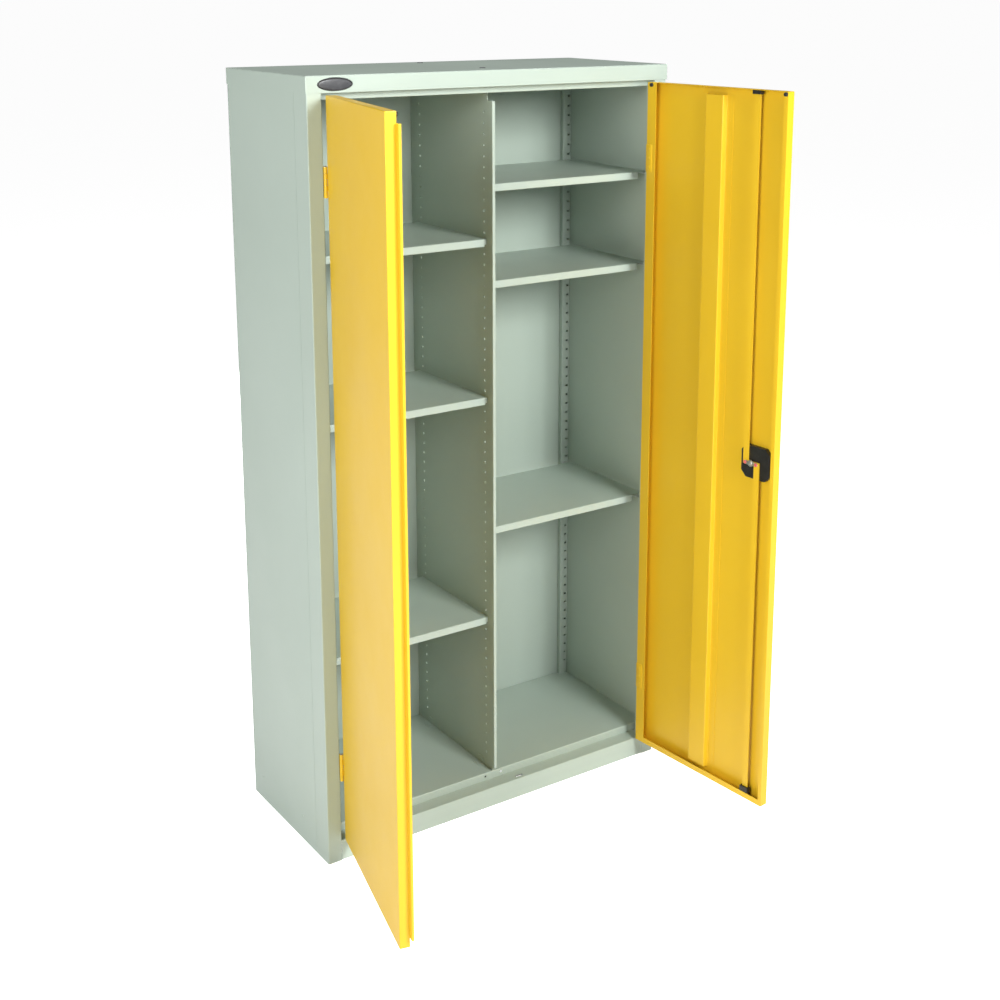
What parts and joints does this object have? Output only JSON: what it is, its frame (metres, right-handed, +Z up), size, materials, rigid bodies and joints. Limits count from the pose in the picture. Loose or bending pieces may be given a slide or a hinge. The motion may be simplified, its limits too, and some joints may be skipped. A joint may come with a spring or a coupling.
{
  "type": "two-door storage cupboard",
  "caption": "Tall steel cupboard with two hinged doors, a full-height centre partition, clip-on shelves and a rod lock.",
  "frame": {"origin": "centre of the base footprint, on the floor", "axes": "+Z up, the open front faces -Y, +X to the viewer's right; both doors are stored open, the left by 103 degrees and the right by 95"},
  "size_m": [1.0043, 0.8439, 1.7816],
  "materials": {
    "body_paint": "semi-gloss powder coat, pale grey-green",
    "door_paint": "semi-gloss powder coat, golden yellow",
    "bright_steel": "bright steel",
    "zinc_steel": "bright zinc plate",
    "black_plastic": "satin moulded plastic",
    "dark_plastic": "satin moulded plastic",
    "red_plastic": "satin",
    "rubber": "matt"
  },
  "bodies": {
    "cabinet": {"top_cap": "body_paint", "cap_plugs": "dark_plastic", "post_left": "body_paint", "post_right": "body_paint", "side_left": "body_paint", "side_right": "body_paint", "seam_strips": "body_paint", "back_panel": "body_paint", "back_rivets": "bright_steel", "header_rail": "body_paint", "plinth": "body_paint", "floor_tray": "body_paint", "floor_channel": "body_paint", "rod_keeps": "black_plastic", "partition": "body_paint", "partition_feet": "body_paint", "shelf_left_1": "body_paint", "shelf_left_2": "body_paint", "shelf_left_3": "body_paint", "shelf_right_1": "body_paint", "shelf_right_2": "body_paint", "shelf_right_3": "body_paint", "clips_partition": "zinc_steel", "clips_post": "zinc_steel", "clips_rear": "zinc_steel", "hinge_pins": "bright_steel", "hinge_post_left": "door_paint", "hinge_post_right": "door_paint", "badge_rim": "black_plastic", "badge_field": "dark_plastic"},
    "left_door": {"door_left": "door_paint", "stiffener_left": "door_paint", "buffers_left": "rubber", "hinge_door_left": "door_paint", "astragal": "door_paint"},
    "right_door": {"door_right": "door_paint", "stiffener_right": "door_paint", "buffers_right": "rubber", "hinge_door_right": "door_paint", "lock_housing": "black_plastic", "lock_screws": "bright_steel", "rod_guides": "black_plastic"},
    "handle": {"handle_grip": "black_plastic", "cam": "zinc_steel", "cam_nut": "zinc_steel", "cam_pins": "red_plastic"},
    "key_barrel": {"key_barrel": "bright_steel"},
    "upper_rod": {"rod_upper": "door_paint"},
    "lower_rod": {"rod_lower": "door_paint"}
  },
  "joints": [
    {"name": "left_door_hinge", "type": "hinge", "parent": "cabinet", "child": "left_door", "pos_m": [-0.4355, -0.201, 0.9], "axis": [0, 0, 1], "range_deg": [-67, 103]},
    {"name": "right_door_hinge", "type": "hinge", "parent": "cabinet", "child": "right_door", "pos_m": [0.4355, -0.201, 0.9], "axis": [0, 0, 1], "range_deg": [-95, 75]},
    {"name": "handle_turn", "type": "hinge", "parent": "right_door", "child": "handle", "pos_m": [0.46335, -0.55944, 0.889], "axis": [0.9962, 0.0872, 0], "range_deg": [0, 60]},
    {"name": "key_turn", "type": "hinge", "parent": "handle", "child": "key_barrel", "pos_m": [0.46335, -0.55944, 0.889], "axis": [0.9962, 0.0872, 0], "range_deg": [0, 90]},
    {"name": "upper_rod_slide", "type": "slide", "parent": "right_door", "child": "upper_rod", "axis": [0, 0, 1], "range_m": [0, 0.01428]},
    {"name": "lower_rod_slide", "type": "slide", "parent": "right_door", "child": "lower_rod", "axis": [0, 0, -1], "range_m": [0, 0.0143]}
  ],
  "couplings": [
    {"joint": "handle_turn", "follows": "upper_rod_slide", "rad_per_m": 73.33},
    {"joint": "lower_rod_slide", "follows": "upper_rod_slide", "ratio": 1}
  ]
}
